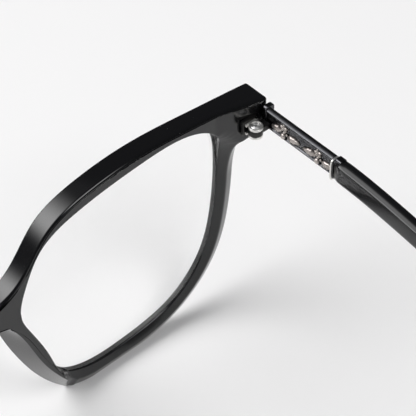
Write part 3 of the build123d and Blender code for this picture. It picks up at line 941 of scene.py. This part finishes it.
def buildFerrule(side):
    # bright band at the link's end, then a black ring with a groove before the sleeve
    size = ferruleSizes
    low, high = boxOf("rear_collar_" + side)
    bandEnd = low.y + size["band"]
    neckEnd = bandEnd + size["groove"]
    ringEnd = boxOf("collar_band_" + side)[1].y - size["ringShort"]
    # each piece: start, end, and how far it stays inside the collar on its inner, outer, top and bottom side
    pieces = (("band", low.y, bandEnd, (0.10, 0.10, 0.30, 0.05), "hinge_silver", ["collar_band_" + side]),
              ("neck", bandEnd, neckEnd, (0.35, 0.35, 0.45, 0.35), "link_black", []),
              ("ring", neckEnd, ringEnd, (0.60, 0.0, 0.0, 0.60), "link_black", ["rear_collar_" + side]))
    sign = -1 if side == "right" else 1
    for name, start, end, (inner, outer, top, bottom), slot, nodes in pieces:
        xs = (low.x + (outer if sign < 0 else inner), high.x - (inner if sign < 0 else outer))
        zs = (low.z + bottom, high.z - top)
        bm = bmesh.new()
        rings = []
        for y in (start, end):
            ring = []
            for k in range(size["around"]):
                angle = 2 * math.pi * k / size["around"]
                c, s = math.cos(angle), math.sin(angle)
                x = math.copysign(abs(c) ** size["squareness"], c) * (xs[1] - xs[0]) / 2
                z = math.copysign(abs(s) ** size["squareness"], s) * (zs[1] - zs[0]) / 2
                ring.append(((xs[0] + xs[1]) / 2 + x, y, (zs[0] + zs[1]) / 2 + z))
            rings.append(ring)
        loftRings(bm, rings)
        makePiece("ferrule_" + name + "_" + side, bm, "temple_" + side, nodes,
                  bevelWidth=0.06).data.materials.append(materials[slot])


templeSizes = {
    "thickness": 2.6,
    "height": 4.7,
    "tipThickness": 3.0,
    "tipHeight": 6.6,
    "slim": 0.35,
    "lead": 0.95,                # how far the sleeve reaches over the ferrule
    "inward": 7.6,
    "length": 141.0,             # from the front to the rear end of the sleeve
    "squareness": 0.42,          # power of the section: 1 is an ellipse
    "facet": (0.42, 0.91),       # direction of the flat along the inner top edge: across and up
    "facetCut": 0.52,            # how much that flat takes off the corner
    "around": 40,
    # centre line: shares of the run back, of the drop and of the lean inward
    "route": [(0.00, 0.000, 0.00), (0.20, 0.012, 0.16), (0.40, 0.050, 0.35), (0.54, 0.125, 0.49),
              (0.65, 0.255, 0.60), (0.75, 0.440, 0.72), (0.85, 0.675, 0.84), (0.97, 1.000, 0.97)],
}


def buildTemple(side):
    size = templeSizes
    sign = -1 if side == "right" else 1
    low, high = boxOf("temple_arm_" + side)
    start = low.y - size["lead"]
    facetAcross, facetUp = size["facet"]
    reach = size["length"] - (start - frontLow.y / mm)
    outerX = high.x if side == "left" else -low.x
    middleX = outerX - size["thickness"] / 2
    topMiddle = high.z - size["height"] / 2
    tipMiddle = size["tipHeight"] * 0.2
    fall = topMiddle - tipMiddle
    points = [(middleX - size["inward"] * lean, start + reach * run, topMiddle - fall * drop)
              for run, drop, lean in size["route"]]
    line = fitSpline(points, ends=[(0, 1, 0), (0.06, 0.62, -0.78)])
    path, shares = evenPoints([line(place) for place in np.linspace(0, len(points) - 1, 400)], 1.0)
    total = len(path)
    bm = bmesh.new()
    rings = []
    for i in range(total):
        share = i / (total - 1)
        ahead = path[min(i + 1, total - 1)] - path[max(i - 1, 0)]
        ahead = Vector(ahead).normalized()
        across = ahead.cross(Vector((0, 0, 1))).normalized()
        up = across.cross(ahead)
        growth = 0.5 - 0.5 * math.cos(math.pi * min(max((share - 0.45) / 0.4, 0), 1))
        thick = size["thickness"] + (size["tipThickness"] - size["thickness"]) * growth
        tall = size["height"] + (size["tipHeight"] - size["height"]) * growth
        tall -= size["slim"] * math.sin(math.pi * share)
        endRound = min(1, math.sqrt(max(0, 1 - max(0, 1 - i / 2.0) ** 2)) * 0.12 + 0.88) if i < 3 else 1
        tipLeft = (total - 1 - i) * 1.0
        if tipLeft < 1.4:
            endRound = math.sqrt(max(0.02, 1 - (1 - tipLeft / 1.4) ** 2))
        ring = []
        for k in range(size["around"]):
            angle = 2 * math.pi * k / size["around"]
            c, s = math.cos(angle), math.sin(angle)
            x = math.copysign(abs(c) ** size["squareness"], c) * thick / 2 * endRound
            z = math.copysign(abs(s) ** size["squareness"], s) * tall / 2 * endRound
            cornerReach = thick / 2 * facetAcross + tall / 2 * facetUp
            excess = max(0, -x * facetAcross + z * facetUp - (cornerReach - size["facetCut"]))
            x += facetAcross * excess * endRound
            z -= facetUp * excess * endRound
            point = Vector(path[i]) + across * x + up * z
            ring.append((sign * point.x, point.y, max(point.z, 0.0)))
        rings.append(ring)
    loftRings(bm, rings)
    makePiece("temple_sleeve_" + side, bm, "temple_" + side,
              ["temple_arm_" + side]).data.materials.append(materials["temple_black"])


for side in sides:
    buildHinge(side)
    buildLink(side)
    buildOrnament(side)
    buildFerrule(side)
    buildTemple(side)
print("hinges, links and temples built")

slots = {row["node"]: row["material_slot"] for row in frame["record"]["subparts"]}
for name, node in frame["nodes"].items():
    node.data.materials.clear()
    node.data.materials.append(materials[slots[name]])

shell.data.materials.append(materials["frame_black"])

for lens in lenses:
    lens.data.materials.append(glass)
